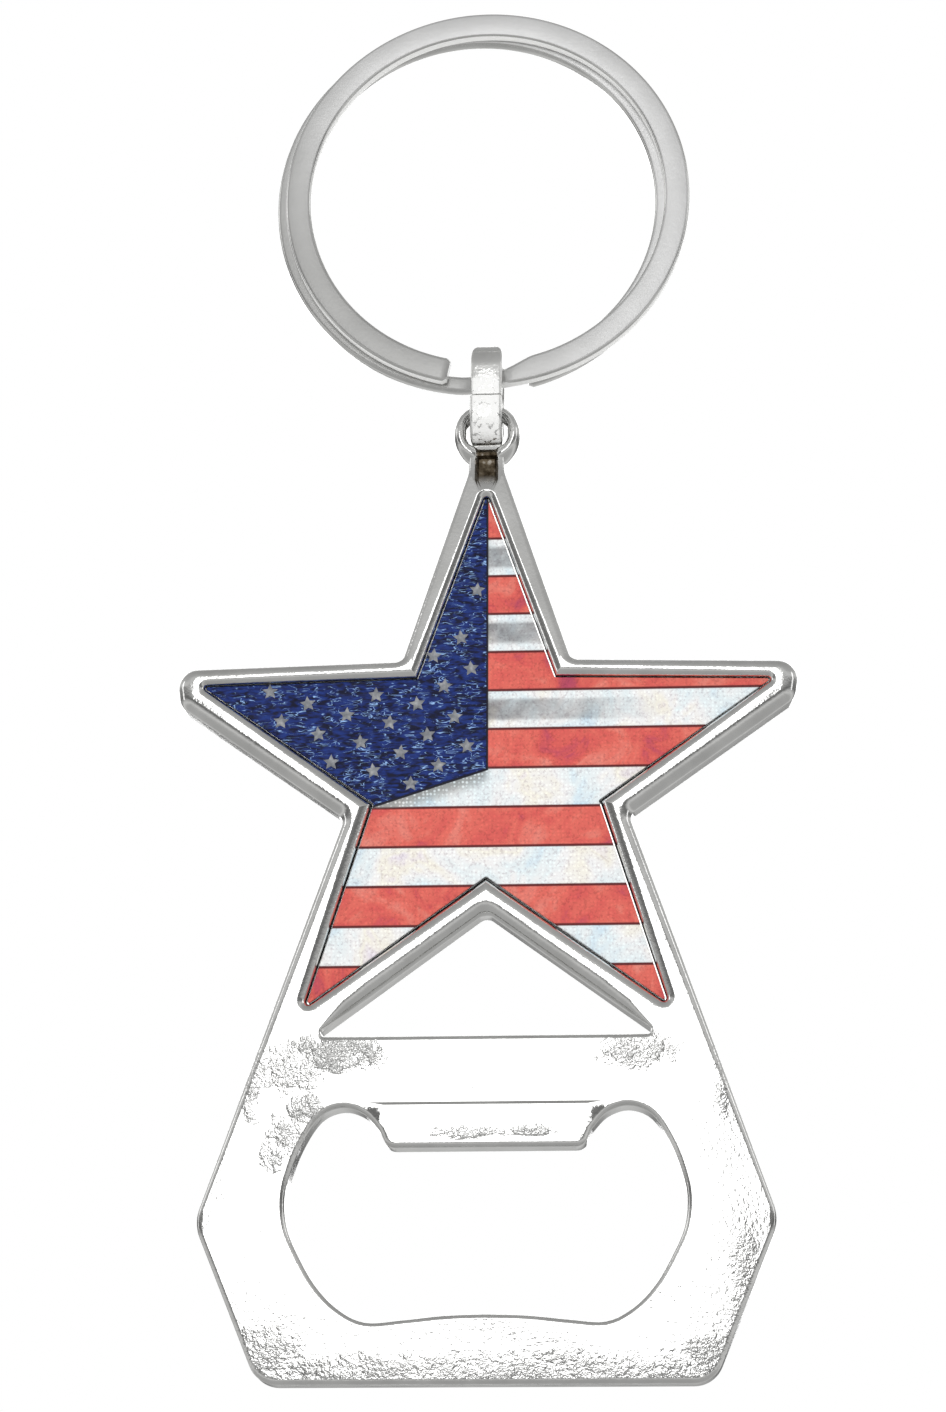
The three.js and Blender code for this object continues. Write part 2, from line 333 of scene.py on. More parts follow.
def casting(material):
    skin = Skin()

    def make(y):
        return lambda x, z: skin.point(x, cast_y(x, z, y), z)

    def quarter(wall, inner, radii, steps=9):
        """Loops of a rounded front edge, from the flat face out to the wall."""
        loops = []
        for k in range(steps):
            a = math.pi / 2 * k / (steps - 1)
            inset, back = 1 - math.sin(a), 1 - math.cos(a)
            loop = [tuple(Vector(p).lerp(Vector(q), inset * r))
                    for p, q, r in zip(wall, inner, radii)]
            verts = [make(FRONT + back * r)(*p) for p, r in zip(loop, radii)]
            loops.append((loop, verts))
        return loops

    def edge_radius(point):
        """Half of the star's rim, easing to a tighter edge on the lower plate.

        It nearly vanishes above the window's lower corners, which look sharp.
        """
        x, z = point
        rim = distance_to(point, star) - RECESS_GAP
        radius = RIM_SHARE * rim + (PLATE_EDGE - RIM_SHARE * rim) * smooth(2.4, 4.0, rim)
        neck_or_bar = max(smooth(-6.5, -4.0, z), smooth(-46.6, -47.35, z))
        radius += (BAR_EDGE - radius) * neck_or_bar
        beside, above = abs(x) - WINDOW[1][0], z - WINDOW[1][1]
        near = 1 - smooth(0, CORNER_REACH, math.hypot(beside, above))
        return radius * (1 - 0.8 * near * smooth(0, 0.25, above))

    def rings(line, turn):
        """Rounded front edge, wall and rounded back edge; turn is -1 for the outside."""
        wall, inner = line(0), line(turn)
        made = quarter(wall, inner, [edge_radius(p) for p in wall])
        for k in range(7):
            a = math.pi / 2 * (1 - k / 6)
            loop = line(turn * BACK_EDGE * (1 - math.sin(a)))
            y = BACK - BACK_EDGE * (1 - math.cos(a))
            made.append((loop, [make(y)(*p) for p in loop]))
        for (_, a), (_, b) in zip(made, made[1:]):
            skin.bridge(a, b)
        return made[0], made[-1]

    star = rounded(mirrored(STAR))
    outline, window, mouth = mirrored(OUTLINE), mirrored(WINDOW), mouth_line()
    outer_front, outer_back = rings(lambda d: rounded(grown(outline, d)), -1)
    window_front, window_back = rings(lambda d: divided(rounded(grown(window, d))), 1)
    mouth_front, mouth_back = rings(lambda d: pushed(mouth, d), 1)

    wall = rounded(grown(mirrored(STAR), RECESS_GAP))
    limits = rounded(outline), rounded(window)
    radii = [RECESS_SHARE * min(distance_to(p, limit) for limit in limits) for p in wall]
    recess = quarter(wall, rounded(grown(mirrored(STAR), RECESS_GAP + 1)), radii)
    recess.append((wall, [make(FRONT + RECESS_DEPTH)(*p) for p in wall]))
    for (_, a), (_, b) in zip(recess, recess[1:]):
        skin.bridge(a, b)
    skin.fill([recess[-1]], make(FRONT + RECESS_DEPTH))

    side, foot = min(
        (p for p in mouth_front[0] if p[1] > STEP_FOOT + 0.5 and p[0] > 0),
        key=lambda p: abs(p[0] - STEP_HALF),
    )
    step = [(-side, foot), (-side, STEP_Z), (side, STEP_Z), (side, foot)]
    full, below = side - STEP_RUN_OUT, STEP_Z - STEP_SOFT
    inner = [(-full, foot + 0.1), (-full, below), (full, below), (full, foot + 0.1)]
    neck = [(i * 0.15, -3.95 + k * 0.15) for i in range(-7, 8) for k in range(14)]
    neck = [p for p in neck if inside(p, outer_front[0]) and not inside(p, recess[0][0])]
    front = [outer_front, recess[0], window_front, mouth_front]
    skin.fill(front, make(FRONT), neck, [step, inner])
    skin.fill([outer_back, window_back, mouth_back], make(BACK))
    return skin.finish("cast_body", "opener", material)


def squarer(c):
    """Pushes a round bend a little towards a square one."""
    return math.copysign(abs(c) ** 0.85, c)


def eye(material):
    """The eye: a bulging ring whose hole is a rounded oblong, grooved at its foot."""
    skin = Skin()
    corners = [(HOLE_HALF, HOLE_TOP, 1.0), (-HOLE_HALF, HOLE_TOP, 1.0),
               (-HOLE_HALF, HOLE_FOOT, 1.0), (HOLE_HALF, HOLE_FOOT, 1.0)]
    around = 24
    sections = []
    for x, z in evenly(rounded(corners, 16), 110):
        angle = math.atan2(z, x)
        outer = Vector((EYE_R * math.cos(angle), EYE_R * math.sin(angle)))
        inner = Vector((x, z))
        middle, half = (outer + inner) / 2, (outer - inner) / 2
        cheek = abs(math.cos(angle))
        thick = EYE_HALF_T + EYE_BULGE * cheek ** 1.5
        section = []
        for k in range(around):
            t = 2 * math.pi * k / around
            p = middle + half * squarer(math.cos(t))
            y = thick * squarer(math.sin(t))
            if y < 0 and p.y < 0:
                y += GROOVE_DEPTH * smooth(0, 0.25, GROOVE_HALF - abs(p.x)) * min(1.0, -y / 0.5)
            section.append(skin.point(p.x, y, p.y))
        sections.append(section)
    for i, section in enumerate(sections):
        skin.bridge(sections[i - 1], section)
    return skin.finish("cast_eye", "opener", material, sharp=60, weighted=False)


# ---------------------------------------------------------------- insert
def star_slab(name, corners, y_front, y_back, material, edge):
    """A thin star sheet with a small rounded front edge."""
    skin = Skin()
    front = rounded(grown(corners, -edge), 6)
    shoulder = rounded(corners, 6)
    a = [skin.point(x, y_front, z) for x, z in front]
    b = [skin.point(x, y_front + edge, z) for x, z in shoulder]
    c = [skin.point(x, y_back, z) for x, z in shoulder]
    skin.bridge(a, b)
    skin.bridge(b, c)
    skin.fill([(front, a)], lambda x, z: skin.point(x, y_front, z))
    skin.fill([(shoulder, c)], lambda x, z: skin.point(x, y_back, z))
    return skin.finish(name, "opener", material)


# The printed star field: a slanted lattice, kept inside the blue field.
LATTICE_FROM = (-8.38, -21.09)
LATTICE_A = (3.045, -0.862)
LATTICE_B = (0.922, -2.319)
FIELD_FOOT, FIELD_SLOPE = -27.0, 0.325
STAR_R = 0.6


def printed_stars(material, y):
    skin = Skin()
    keep = rounded(grown(mirrored(STAR), -0.4))
    for i in range(-6, 9):
        for j in range(-9, 6):
            wave = 0.12 * math.sin(2.1 * i + 1.3 * j)
            x = LATTICE_FROM[0] + i * LATTICE_A[0] + j * LATTICE_B[0] + wave
            z = LATTICE_FROM[1] + i * LATTICE_A[1] + j * LATTICE_B[1] + wave
            in_field = x < -0.35 and z > FIELD_FOOT + FIELD_SLOPE * x + 0.5
            if not (in_field and inside((x, z), keep)):
                continue
            lean = 0.12 * math.sin(1.7 * i - j)
            rim, foot = [], []
            for k in range(10):
                r = STAR_R if k % 2 == 0 else STAR_R * 0.45
                a = math.pi / 2 + lean + k * math.pi / 5
                rim.append(skin.point(x + r * math.cos(a), y, z + r * math.sin(a)))
                r += 0.05
                foot.append(skin.point(x + r * math.cos(a), y + 0.03, z + r * math.sin(a)))
            top = skin.point(x, y - 0.015, z)
            for k in range(10):
                skin.bm.faces.new((rim[k], rim[(k + 1) % 10], top))
            skin.bridge(rim, foot)
    return skin.finish("insert_stars", "opener", material, sharp=60, weighted=False)


# ---------------------------------------------------------------- link and ring
def strip_section(width, thick, corner, steps=4):
    """Rounded rectangle, as offsets across the strip and out from its inside face."""
    points = []
    centres = ((width / 2 - corner, thick - corner, 0), (corner - width / 2, thick - corner, 90),
               (corner - width / 2, corner, 180), (width / 2 - corner, corner, 270))
    for cx, cy, start in centres:
        for k in range(steps + 1):
            a = math.radians(start + 90 * k / steps)
            points.append((cx + corner * math.cos(a), cy + corner * math.sin(a)))
    return points


def capped(skin, section, flip):
    """A flat end cap, fanned out from the middle of the section."""
    middle = sum((v.co for v in section), Vector()) / len(section)
    centre = skin.bm.verts.new(middle)
    for i, v in enumerate(section):
        pair = (section[i - 1], v)
        skin.bm.faces.new((*(pair if flip else pair[::-1]), centre))


def link(material):
    """The strip, as sections along a path from the lower side of its seam to the upper.

    A path point is the strip's direction (y, z) from the centre of its bend, that
    centre's z, and how far it belongs to the upper half.
    """
    skin = Skin()
    path = []
    for k in range(5):
        path.append((-1, 0, SEAM_Z - SEAM_GAP / 2 + (LOOP_LOW - SEAM_Z) * k / 5, 0))
    path += [(squarer(math.cos(a)), squarer(math.sin(a)), LOOP_LOW, 0)
             for a in (math.pi + math.pi * k / 32 for k in range(33))]
    path += [(1, 0, LOOP_LOW + (LOOP_HIGH - LOOP_LOW) * k / 6, k / 6) for k in range(1, 6)]
    path += [(math.cos(a), math.sin(a), LOOP_HIGH, 1)
             for a in (math.pi * k / 32 for k in range(33))]
    for k in range(5):
        path.append((-1, 0, LOOP_HIGH + (SEAM_Z + SEAM_GAP / 2 - LOOP_HIGH) * (k + 1) / 5, 1))
    sections = []
    count = len(path)
    for i, (ny, nz, z, high) in enumerate(path):
        near = min(i, count - 1 - i) / 3
        shrink = 0.06 * max(0.0, 1 - near)
        width = STRIP_W - 0.06 * high - shrink - 0.9 * max(nz, 0.0) ** 5
        section = []
        for x, t in strip_section(width, STRIP_T - shrink, 0.22):
            out = LOOP_R + t + shrink / 2
            section.append(skin.point(x + 0.05 * high, out * ny, z + out * nz))
        sections.append(section)
    for a, b in zip(sections, sections[1:]):
        skin.bridge(a, b)
    capped(skin, sections[0], True)
    capped(skin, sections[-1], False)
    return skin.finish("link_strip", "link", material, sharp=50, weighted=False)


def ring(material):
    """One flat wire wound twice, narrow where it crosses from turn to turn."""
    skin = Skin()
    total = 720 - (END_B - END_A)
    steps = 560
    jog_start, jog_end, narrow = END_B - 5, END_A + 5, 12
    sections = []
    for k in range(steps + 1):
        turned = total * k / steps
        angle = END_A - turned
        crossing = angle + 360
        t = min(max((jog_start - crossing) / (jog_start - jog_end), 0.0), 1.0)
        side = t ** 3 * (t * (6 * t - 15) + 10) - 0.5
        into = smooth(0, narrow, END_B + 1 - crossing)
        leave = smooth(0, 4, END_A - crossing)
        width = WIRE_W - (WIRE_W - JOG_W) * into * (1 - leave)
        from_end = min(turned, total - turned) * math.radians(RING_R)
        shrink = 0.2 * (1 - math.sqrt(1 - (1 - min(from_end / 0.45, 1.0)) ** 2))
        a = math.radians(angle)
        section = []
        for r, y in strip_section(width, WIRE_T, 0.28, 5):
            r *= 1 - shrink
            y = (y - WIRE_T / 2) * (1 - shrink)
            radius = RING_R - width / 2 + r
            x = radius * math.cos(a) + SLIP[0] * (side + 0.5)
            z = RING_Z + radius * math.sin(a) + SLIP[1] * (side + 0.5)
            section.append(skin.point(x, side * TURN_PITCH + y, z - EYE_Z))
        sections.append(section)
    for a, b in zip(sections, sections[1:]):
        skin.bridge(a, b)
    capped(skin, sections[0], True)
    capped(skin, sections[-1], False)
    return skin.finish("ring_wire", "ring", material, sharp=50, weighted=False)


# ---------------------------------------------------------------- materials
class Nodes:
    """A material's node tree with short calls for making and joining nodes."""

    def __init__(self, name):
        self.material = bpy.data.materials.new(name)
        self.material.use_nodes = True
        self.tree = self.material.node_tree
        self.shader = self.tree.nodes["Principled BSDF"]
        coords = self.add("ShaderNodeTexCoord")
        self.object = coords.outputs["Object"]
        split = self.add("ShaderNodeSeparateXYZ")
        self.join(self.object, split.inputs[0])
        self.x = self.math("MULTIPLY", split.outputs["X"], 1000)
        self.y = self.math("MULTIPLY", split.outputs["Y"], 1000)
        self.z = self.math("SUBTRACT", self.math("MULTIPLY", split.outputs["Z"], 1000), EYE_Z)

    def add(self, kind, **settings):
        node = self.tree.nodes.new(kind)
        for key, value in settings.items():
            setattr(node, key, value)
        return node

    def join(self, source, target):
        self.tree.links.new(source, target)

    def put(self, target, value):
        """Gives an input a value, or another node's output."""
        if isinstance(value, bpy.types.NodeSocket):
            self.join(value, target)
        else:
            target.default_value = value

    def math(self, operation, a, b=0.0):
        node = self.add("ShaderNodeMath", operation=operation)
        self.put(node.inputs[0], a)
        self.put(node.inputs[1], b)
        return node.outputs[0]

    def product(self, first, *others):
        for value in others:
            first = self.math("MULTIPLY", first, value)
        return first

    def inverse(self, mask):
        """1 where the mask is 0 and 0 where it is 1."""
        return self.math("SUBTRACT", 1.0, mask)

    def fade(self, value, low, high):
        """0 below low, 1 above high, smooth between."""
        node = self.add("ShaderNodeMapRange", interpolation_type="SMOOTHSTEP")
        self.put(node.inputs["Value"], value)
        node.inputs["From Min"].default_value = low
        node.inputs["From Max"].default_value = high
        return node.outputs["Result"]

    def noise(self, size_mm, detail=3.0, rough=0.55, distortion=0.0, stretch=None):
        """Noise by position; stretch scales the position first, a factor per axis."""
        node = self.add("ShaderNodeTexNoise")
        place = self.object
        if stretch:
            mapping = self.add("ShaderNodeMapping")
            self.join(place, mapping.inputs["Vector"])
            mapping.inputs["Scale"].default_value = stretch
            place = mapping.outputs[0]
        self.join(place, node.inputs["Vector"])
        node.inputs["Scale"].default_value = 1000 / size_mm
        node.inputs["Detail"].default_value = detail
        node.inputs["Roughness"].default_value = rough
        node.inputs["Distortion"].default_value = distortion
        return node.outputs["Fac"]

    def ramp(self, value, stops):
        """Colours by value: a list of (position, colour)."""
        node = self.add("ShaderNodeValToRGB")
        self.put(node.inputs[0], value)
        while len(node.color_ramp.elements) < len(stops):
            node.color_ramp.elements.new(0.5)
        for element, (at, colour) in zip(node.color_ramp.elements, stops):
            element.position = at
            element.color = (*colour, 1)
        return node.outputs[0]

    def mix(self, factor, a, b, blend="MIX"):
        node = self.add("ShaderNodeMix", data_type="RGBA", blend_type=blend)
        self.put(node.inputs["Factor"], factor)
        for socket, value in ((node.inputs["A"], a), (node.inputs["B"], b)):
            self.put(socket, value if isinstance(value, bpy.types.NodeSocket) else (*value, 1))
        return node.outputs["Result"]

    def bump(self, heights):
        """Stacked bumps: a list of (height, strength, distance in mm)."""
        normal = None
        for height, strength, distance in heights:
            node = self.add("ShaderNodeBump")
            node.inputs["Strength"].default_value = strength
            node.inputs["Distance"].default_value = distance * MM
            self.join(height, node.inputs["Height"])
            if normal:
                self.join(normal, node.inputs["Normal"])
            normal = node.outputs[0]
        self.join(normal, self.shader.inputs["Normal"])

    def set(self, **values):
        for key, value in values.items():
            socket = self.shader.inputs[key.replace("_", " ")]
            colour = isinstance(value, tuple)
            self.put(socket, (*value, 1) if colour else value)


def grey(tone):
    return (tone, tone, tone)


# Patches of coarser casting skin under the plate: x, z, half width and half height in
# mm, and how strong the patch is.
SKIN_PATCHES = [
    (-10.9, -48.8, 3.4, 1.5, 2.0), (-14.6, -49.8, 3.6, 1.8, 1.2), (-13.3, -53.0, 1.4, 1.1, 1.8),
    (-14.6, -54.7, 1.3, 1.4, 1.6), (-15.6, -56.3, 0.9, 1.3, 1.2), (11.2, -48.7, 3.0, 1.3, 1.5),
    (18.6, -65.6, 1.0, 3.6, 1.0), (16.2, -70.6, 1.8, 1.4, 1.0), (0.0, -71.9, 17.5, 1.3, 1.0),
    (-15.6, -70.4, 2.4, 1.6, 1.0), (-17.2, -50.0, 0.7, 4.0, 1.2), (-1.5, -54.6, 3.0, 0.5, 1.2),
    (3.5, -54.5, 1.6, 0.4, 1.2), (17.3, -50.5, 0.6, 3.0, 1.2), (-16.9, -44.0, 1.2, 2.0, 1.2),
    (0.0, -50.3, 9.0, 1.6, 0.35),
]


def neck_groove_reflection(n, front):
    """Mask and colour of a painted dark reflection in the neck's groove, ragged along its sides.
    """
    ragged = n.product(n.noise(0.5, 3.0), 0.5)
    across = n.math("SUBTRACT", 1.25, n.math("ADD", n.math("ABSOLUTE", n.x), ragged))
    below_eye = n.inverse(n.fade(n.z, -0.5, -0.2))
    along = n.product(n.fade(n.z, GROOVE_FOOT, GROOVE_FOOT + 1.2), below_eye)
    reflection_tone = n.ramp(n.noise(0.45, 3.0), [(0.35, (0.05, 0.035, 0.02)), (0.6, (0.2, 0.16, 0.11)),
                                         (0.75, (0.6, 0.56, 0.5))])
    return n.product(n.fade(across, 0.0, 0.3), along, front), reflection_tone


def coarse_skin(n, front):
    """Height of the pits in the skin patches, whose outlines stray a little."""
    coarse = 0.0
    stray = n.product(n.math("SUBTRACT", n.noise(1.5, 4.0, 0.7), 0.5), 5.0)
    for x, z, half_x, half_z, strength in SKIN_PATCHES:
        across = n.math("DIVIDE", n.math("SUBTRACT", n.x, x), half_x)
        up = n.math("DIVIDE", n.math("SUBTRACT", n.z, z), half_z)
        reach = n.math("ADD", n.product(across, across), n.product(up, up))
        reach = n.math("ADD", reach, stray)
        patch = n.product(n.inverse(n.fade(reach, -0.6, 1.5)), strength)
        coarse = n.math("MAXIMUM", coarse, patch)
    return n.product(n.noise(0.25, 2.0, 0.6), coarse, front)


def plating(name, low, high, grain, wavy, rough, flat=None, pale=None, cast=False):
    """Bright plate: cloudy tone, fine grain in the reflections, soft hollows.

    flat is the (low tone, high tone, roughness) of a satin front and back face, with painted
    shade that darkens it towards the ring's lower left. pale makes the mask of a painted
    highlight, a pale matt surface, from the nodes. cast adds the skin patches and the painted
    dark reflection in the neck's groove.
    """
    n = Nodes(name)
    cloud = n.noise(2.6, 4.0)
    fine = n.noise(0.3, 2.0, 0.6)
    swell = n.noise(1.3, 2.0)
    wave = n.noise(11.0, 1.0)
    colour = n.ramp(cloud, [(0.3, low), (0.7, high)])
    roughness = n.ramp(n.noise(0.9, 4.0, 0.6), [(0.3, grey(rough[0])), (0.75, grey(rough[1]))])
    if flat:
        facing = n.add("ShaderNodeSeparateXYZ")
        coords = n.add("ShaderNodeTexCoord")
        n.join(coords.outputs["Normal"], facing.inputs[0])
        satin = n.fade(n.math("ABSOLUTE", facing.outputs["Y"]), 0.8, 0.97)
        face = n.ramp(cloud, [(0.3, grey(flat[0])), (0.7, grey(flat[1]))])
        # Painted shade: the satin faces are darkened towards the ring's lower left.
        right = n.math("ADD", n.x, n.math("SUBTRACT", n.z, RING_Z - EYE_Z))
        lower_left_shade = n.inverse(n.fade(right, -24.0, 4.0))
        face = n.mix(lower_left_shade, face, (0.64, 0.64, 0.63), "MULTIPLY")
        colour = n.mix(satin, colour, face)
        roughness = n.mix(satin, roughness, grey(flat[2]))
    metallic = 1.0
    if pale:
        mask = pale(n)
        if flat:
            mask = n.product(mask, n.inverse(satin))
        colour = n.mix(mask, colour, (0.95, 0.95, 0.94))
        roughness = n.mix(mask, roughness, grey(0.4))
        metallic = n.inverse(n.product(mask, 0.85))
    if cast:
        front = n.inverse(n.fade(n.y, -0.4, 0.4))
        # Painted dark reflection in the neck's groove.
        groove_reflection, reflection_tone = neck_groove_reflection(n, front)
        colour = n.mix(groove_reflection, colour, reflection_tone)
        roughness = n.mix(groove_reflection, roughness, grey(0.42))
    n.set(Base_Color=colour, Metallic=metallic, Roughness=roughness)
    heights = [(wave, 1.0, wavy), (swell, 1.0, wavy * 0.04), (fine, 1.0, grain)]
    if cast:
        heights.append((coarse_skin(n, front), 1.0, 0.05))
    n.bump(heights)
    return n.material


STRIPES_TOP, STRIPE_PITCH = -5.64, 3.046
OUTLINE_RED = (0.13, 0.012, 0.014)


def film(name):
    """Holographic print: thirteen red and white stripes and a blue star field."""
    n = Nodes(name)
    count = n.math("DIVIDE", n.math("SUBTRACT", STRIPES_TOP, n.z), STRIPE_PITCH)
    part = n.math("FRACT", count)
    odd = n.math("FRACT", n.product(n.math("FLOOR", count), 0.5))
    white = n.math("GREATER_THAN", odd, 0.25)
    edge = n.math("MINIMUM", part, n.inverse(part))
    outline = n.inverse(n.fade(edge, 0.015, 0.05))

    cloud = n.noise(3.2, 4.0, 0.6, 0.8)
    hue = n.noise(4.6, 3.0, 0.6, 0.4)
    grit = n.noise(0.22, 2.0, 0.7)
    red = n.ramp(cloud, [(0.28, (0.5, 0.06, 0.12)), (0.42, (0.74, 0.11, 0.095)),
                         (0.55, (0.82, 0.16, 0.12)), (0.72, (0.86, 0.28, 0.22))])
    silver = n.ramp(hue, [(0.26, (0.62, 0.82, 0.95)), (0.4, (0.85, 0.95, 0.97)),
                          (0.52, (0.96, 0.97, 0.96)), (0.61, (0.97, 0.95, 0.84)),
                          (0.74, (0.84, 0.78, 0.92))])
    middle = n.fade(edge, 0.16, 0.3)
    upper = n.product(n.fade(n.z, -25.5, -23.5), n.inverse(n.fade(n.x, 2.5, 15.0)))
    shadow = n.product(cloud, 1.3, middle, upper)
    silver = n.mix(shadow, silver, (0.2, 0.2, 0.21))
    stripes = n.mix(white, red, silver)
    stripes = n.mix(outline, stripes, OUTLINE_RED)

    dots = n.add("ShaderNodeTexVoronoi", feature="F1")
    n.join(n.object, dots.inputs["Vector"])
    dots.inputs["Scale"].default_value = 1000 / 0.3
    dots.inputs["Randomness"].default_value = 0.3
    dot = n.fade(dots.outputs["Distance"], 0.25, 0.5)
    speck = n.ramp(grit, [(0.34, (0.74, 0.7, 0.72)), (0.48, (1, 1, 1))])
    stripes = n.mix(0.8, stripes, speck, "MULTIPLY")
    stripes = n.mix(n.product(dot, 0.2), stripes, (0.5, 0.42, 0.45), "MULTIPLY")

    def ripple(size, distortion):
        return n.noise(size, 1.5, 0.5, distortion, stretch=(1.0, 1.0, 3.4))

    weave = ripple(1.15, 1.0)
    crest = n.math("ABSOLUTE", n.math("SUBTRACT", weave, 0.5))
    glint = n.inverse(n.fade(crest, 0.004, 0.024))
    lit = n.fade(n.noise(0.8, 2.0), 0.44, 0.58)
    blue = n.ramp(ripple(0.7, 0.4), [(0.38, (0.001, 0.003, 0.03)), (0.52, (0.003, 0.016, 0.13)),
                                     (0.68, (0.006, 0.03, 0.2))])
    blue = n.mix(n.product(glint, lit), blue, (0.3, 0.5, 0.85))
    foot = n.math("ADD", n.product(n.x, FIELD_SLOPE), FIELD_FOOT)
    above = n.math("SUBTRACT", n.z, foot)
    leftward = n.product(n.x, -1.0)
    field = n.product(n.fade(above, -0.04, 0.04), n.fade(leftward, -0.04, 0.04))
    border = n.product(n.fade(above, -0.24, -0.16), n.fade(leftward, -0.2, -0.12))
    under = n.product(n.fade(above, -1.7, -0.3), n.fade(leftward, -0.6, 0.4),
                      n.math("ADD", n.product(dot, 0.5), 0.25), white)
    stripes = n.mix(under, stripes, (0.16, 0.16, 0.15))
    colour = n.mix(border, stripes, (0.008, 0.008, 0.02))
    colour = n.mix(field, colour, blue)
    n.set(Base_Color=colour, Specular_IOR_Level=0.2, Coat_Weight=0.04, Coat_Roughness=0.15,
          Roughness=n.ramp(cloud, [(0.3, grey(0.32)), (0.7, grey(0.5))]))
    emboss = n.product(weave, field)
    n.bump([(emboss, 0.8, 0.08), (grit, 0.25, 0.01)])
    return n.material


def star_foil(name):
    """Silvery grey foil of the printed stars."""
    n = Nodes(name)
    tone = n.ramp(n.noise(0.5, 3.0),
                  [(0.3, (0.16, 0.17, 0.19)), (0.5, (0.27, 0.28, 0.3)), (0.7, (0.44, 0.45, 0.46))])
    roughness = n.ramp(n.noise(0.3, 2.0), [(0.3, grey(0.3)), (0.7, grey(0.5))])
    n.set(Base_Color=tone, Metallic=0.3, Roughness=roughness)
    n.bump([(n.noise(0.15, 1.0), 0.3, 0.01)])
    return n.material


def rolled_sheet(name):
    """Plain metal sheet with a rolled grain."""
    n = Nodes(name)
    grain = n.noise(500, 2.0, 0.5, stretch=(60, 900, 2600))
    tone = n.ramp(grain, [(0.3, (0.45, 0.46, 0.48)), (0.7, (0.68, 0.69, 0.7))])
    roughness = n.ramp(grain, [(0.3, grey(0.28)), (0.7, grey(0.45))])
    n.set(Base_Color=tone, Metallic=1.0, Roughness=roughness)
    n.bump([(grain, 0.2, 0.01)])
    return n.material


def adhesive(name):
    """Matt yellowish pad."""
    n = Nodes(name)
    tone = n.ramp(n.noise(0.8, 4.0), [(0.3, (0.5, 0.45, 0.33)), (0.7, (0.72, 0.67, 0.54))])
    roughness = n.ramp(n.noise(0.4, 2.0), [(0.3, grey(0.45)), (0.7, grey(0.75))])
    n.set(Base_Color=tone, Roughness=roughness)
    n.bump([(n.noise(0.3, 3.0), 0.3, 0.02)])
    return n.material


# ---------------------------------------------------------------- pieces
def front_turn_highlight(n):
    """Painted highlight along the edges of the ring's front turn."""
    depth = n.math("ADD", n.y, TURN_PITCH / 2)
    front = n.inverse(n.fade(depth, 0.42, 0.5))
    return n.product(front, n.fade(depth, -0.42, -0.34), 0.85)


def link_foot_highlight(n):
    """Painted highlight on the lower front of the link, broken up by grain."""
    grain = n.fade(n.noise(0.35, 3.0, 0.6), 0.36, 0.46)
    low = n.inverse(n.fade(n.z, 3.9, 4.4))
    front = n.inverse(n.fade(n.y, -0.9, -0.5))
    side = n.inverse(n.fade(n.math("ABSOLUTE", n.x), 0.95, 1.15))
    return n.product(grain, low, front, side)


cast_metal = plating("plated_casting", (0.74, 0.74, 0.73), (0.88, 0.88, 0.87),
                     grain=0.011, wavy=0.2, rough=(0.06, 0.14), cast=True)
# The link's pale lower front is a painted highlight.
strip_metal = plating("plated_strip", (0.8, 0.8, 0.79), (0.94, 0.94, 0.93),
                      grain=0.016, wavy=0.2, rough=(0.1, 0.2), pale=link_foot_highlight)
# The wire's pale edges are a painted highlight.
wire_metal = plating("plated_wire", (0.7, 0.7, 0.69), (0.85, 0.85, 0.84),
                     grain=0.01, wavy=0.06, rough=(0.1, 0.18), flat=(0.93, 1.0, 0.42),
                     pale=front_turn_highlight)

body = casting(cast_metal)
body_eye = eye(cast_metal)
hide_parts("opener_body")

film_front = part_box("insert_film")[0].y / MM
film_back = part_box("insert_film")[1].y / MM
print_film = star_slab("insert_print", mirrored(STAR), film_front, film_back,
                       film("holo_print"), 0.04)
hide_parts("insert_film")
stars = printed_stars(star_foil("star_foil"), film_front - 0.02)

strip = link(strip_metal)
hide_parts("connector_link")
wire = ring(wire_metal)
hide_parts("split_ring")

for node, material in (("insert_plate", rolled_sheet("rolled_aluminium")),
                       ("insert_adhesive", adhesive("adhesive_pad"))):
    for material_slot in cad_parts[node].material_slots:
        material_slot.material = material

# ---------------------------------------------------------------- stage
FLOOR_Z = BODY_LOW.z - 0.1


def paper(name):
    n = Nodes(name)
    tone = n.ramp(n.noise(40.0, 3.0), [(0.3, (0.86, 0.86, 0.855)), (0.7, (0.9, 0.9, 0.895))])
    n.set(Base_Color=tone, Roughness=0.85)
    return n.material


def floor():
    """A pale floor that reflections leave out."""
    bm = bmesh.new()
    bmesh.ops.create_grid(bm, x_segments=8, y_segments=8, size=6)
    mesh = bpy.data.meshes.new("floor")
    bm.to_mesh(mesh)
    bm.free()
    mesh.materials.append(paper("floor_paper"))
    obj = bpy.data.objects.new("floor", mesh)
    obj.location.z = FLOOR_Z
    obj.visible_glossy = False
    bpy.context.scene.collection.objects.link(obj)


STAR_CENTRE = Vector((0, film_front, EYE_Z - 27.9)) * MM


def softbox(name, azimuth, elevation, distance, size, power):
    """An area light that faces the star; azimuth 0 is in front, 90 to the right."""
    light = bpy.data.lights.new(name, "AREA")
    light.shape = "RECTANGLE"
    light.size, light.size_y = size
    light.energy = power
    obj = bpy.data.objects.new(name, light)
    a, e = math.radians(azimuth), math.radians(elevation)
    away = Vector((math.sin(a) * math.cos(e), -math.cos(a) * math.cos(e), math.sin(e)))
    obj.location = STAR_CENTRE + away * distance
    obj.rotation_mode = "QUATERNION"
    obj.rotation_quaternion = away.to_track_quat("Z", "Y")
    obj.visible_camera = False
    bpy.context.scene.collection.objects.link(obj)


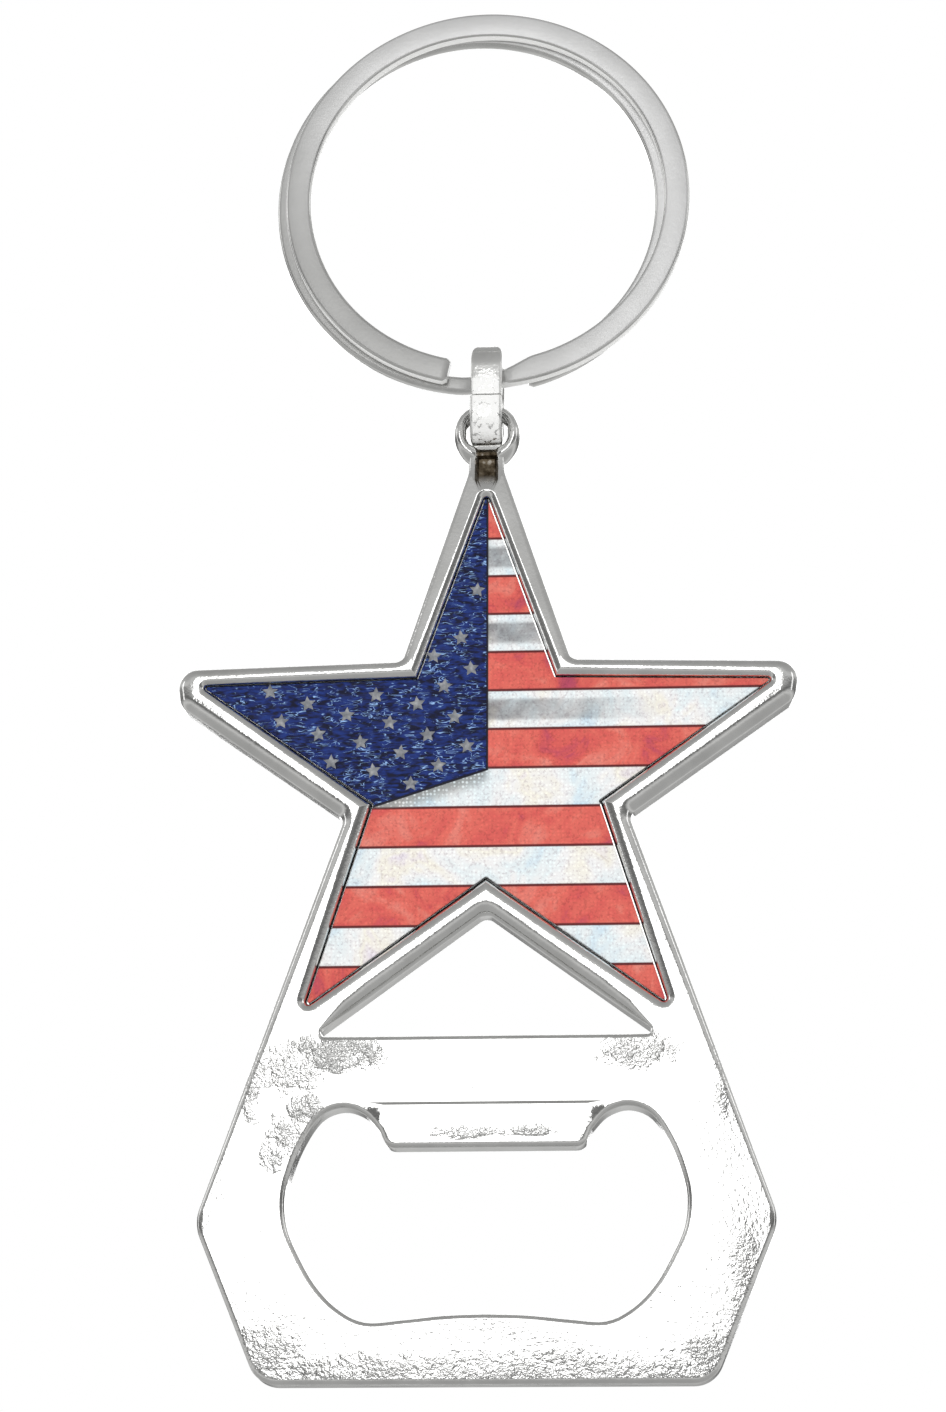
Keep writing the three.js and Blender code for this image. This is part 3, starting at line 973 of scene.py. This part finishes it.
def surroundings():
    """White to the eye, an even fill on matt surfaces, a darker studio in reflections."""
    world = bpy.data.worlds.new("studio")
    bpy.context.scene.world = world
    world.use_nodes = True
    tree = world.node_tree
    tree.nodes.clear()

    def background(value):
        node = tree.nodes.new("ShaderNodeBackground")
        if isinstance(value, bpy.types.NodeSocket):
            tree.links.new(value, node.inputs[0])
        else:
            node.inputs[0].default_value = (value, value, value, 1)
        return node.outputs[0]

    def choose(factor, a, b):
        node = tree.nodes.new("ShaderNodeMixShader")
        for socket, source in zip(node.inputs, (factor, a, b)):
            tree.links.new(source, socket)
        return node.outputs[0]

    coords = tree.nodes.new("ShaderNodeTexCoord")
    split = tree.nodes.new("ShaderNodeSeparateXYZ")
    shift = tree.nodes.new("ShaderNodeMapRange")
    shift.inputs["From Min"].default_value = -1
    ramp = tree.nodes.new("ShaderNodeValToRGB")
    stops = [(0.0, 0.38), (0.25, 0.42), (0.38, 0.62), (0.46, 0.4), (0.53, 0.14), (0.6, 0.22),
             (0.69, 0.6), (0.8, 0.42), (1.0, 0.34)]
    while len(ramp.color_ramp.elements) < len(stops):
        ramp.color_ramp.elements.new(0.5)
    for element, (at, tone) in zip(ramp.color_ramp.elements, stops):
        element.position = at
        element.color = (tone, tone, tone * 0.99, 1)
    tree.links.new(coords.outputs["Generated"], split.inputs[0])
    tree.links.new(split.outputs["Z"], shift.inputs["Value"])
    tree.links.new(shift.outputs[0], ramp.inputs[0])
    path = tree.nodes.new("ShaderNodeLightPath")
    glossy = choose(path.outputs["Is Glossy Ray"], background(1.0), background(ramp.outputs[0]))
    seen = choose(path.outputs["Is Camera Ray"], glossy, background(1.0))
    out = tree.nodes.new("ShaderNodeOutputWorld")
    tree.links.new(seen, out.inputs[0])


floor()
softbox("key", -3.6, 12.9, 0.82, (0.235, 0.31), 0.45)
softbox("left", -80, 15, 0.9, (0.2, 0.6), 0.35)
softbox("right", 80, 15, 0.9, (0.2, 0.6), 0.35)
softbox("rear", 185, 20, 1.0, (1.0, 0.6), 3.0)
surroundings()
bpy.context.scene.view_settings.view_transform = "Standard"

# ---------------------------------------------------------------- camera
# The camera looks up at the front from below, close to square-on, aimed a little
# above the middle of the star.
CAMERA_BELOW, CAMERA_RIGHT, CAMERA_ROLL = 15.6, 3.5, -0.16
CAMERA_DISTANCE = 0.272
CAMERA_LENS = 92.1
AIM = Vector((-1.06, 0, EYE_Z - 21.8)) * MM


def camera():
    data = bpy.data.cameras.new("camera")
    data.lens = CAMERA_LENS
    data.clip_start, data.clip_end = 0.01, 20
    obj = bpy.data.objects.new("camera", data)
    e, a = math.radians(-CAMERA_BELOW), math.radians(CAMERA_RIGHT)
    away = Vector((math.sin(a) * math.cos(e), -math.cos(a) * math.cos(e), math.sin(e)))
    obj.location = STAR_CENTRE + away * CAMERA_DISTANCE
    obj.rotation_mode = "QUATERNION"
    turn = (obj.location - AIM).to_track_quat("Z", "Y")
    obj.rotation_quaternion = turn @ Quaternion((0, 0, 1), math.radians(-CAMERA_ROLL))
    bpy.context.scene.collection.objects.link(obj)
    bpy.context.scene.camera = obj


camera()

bpy.context.view_layer.update()
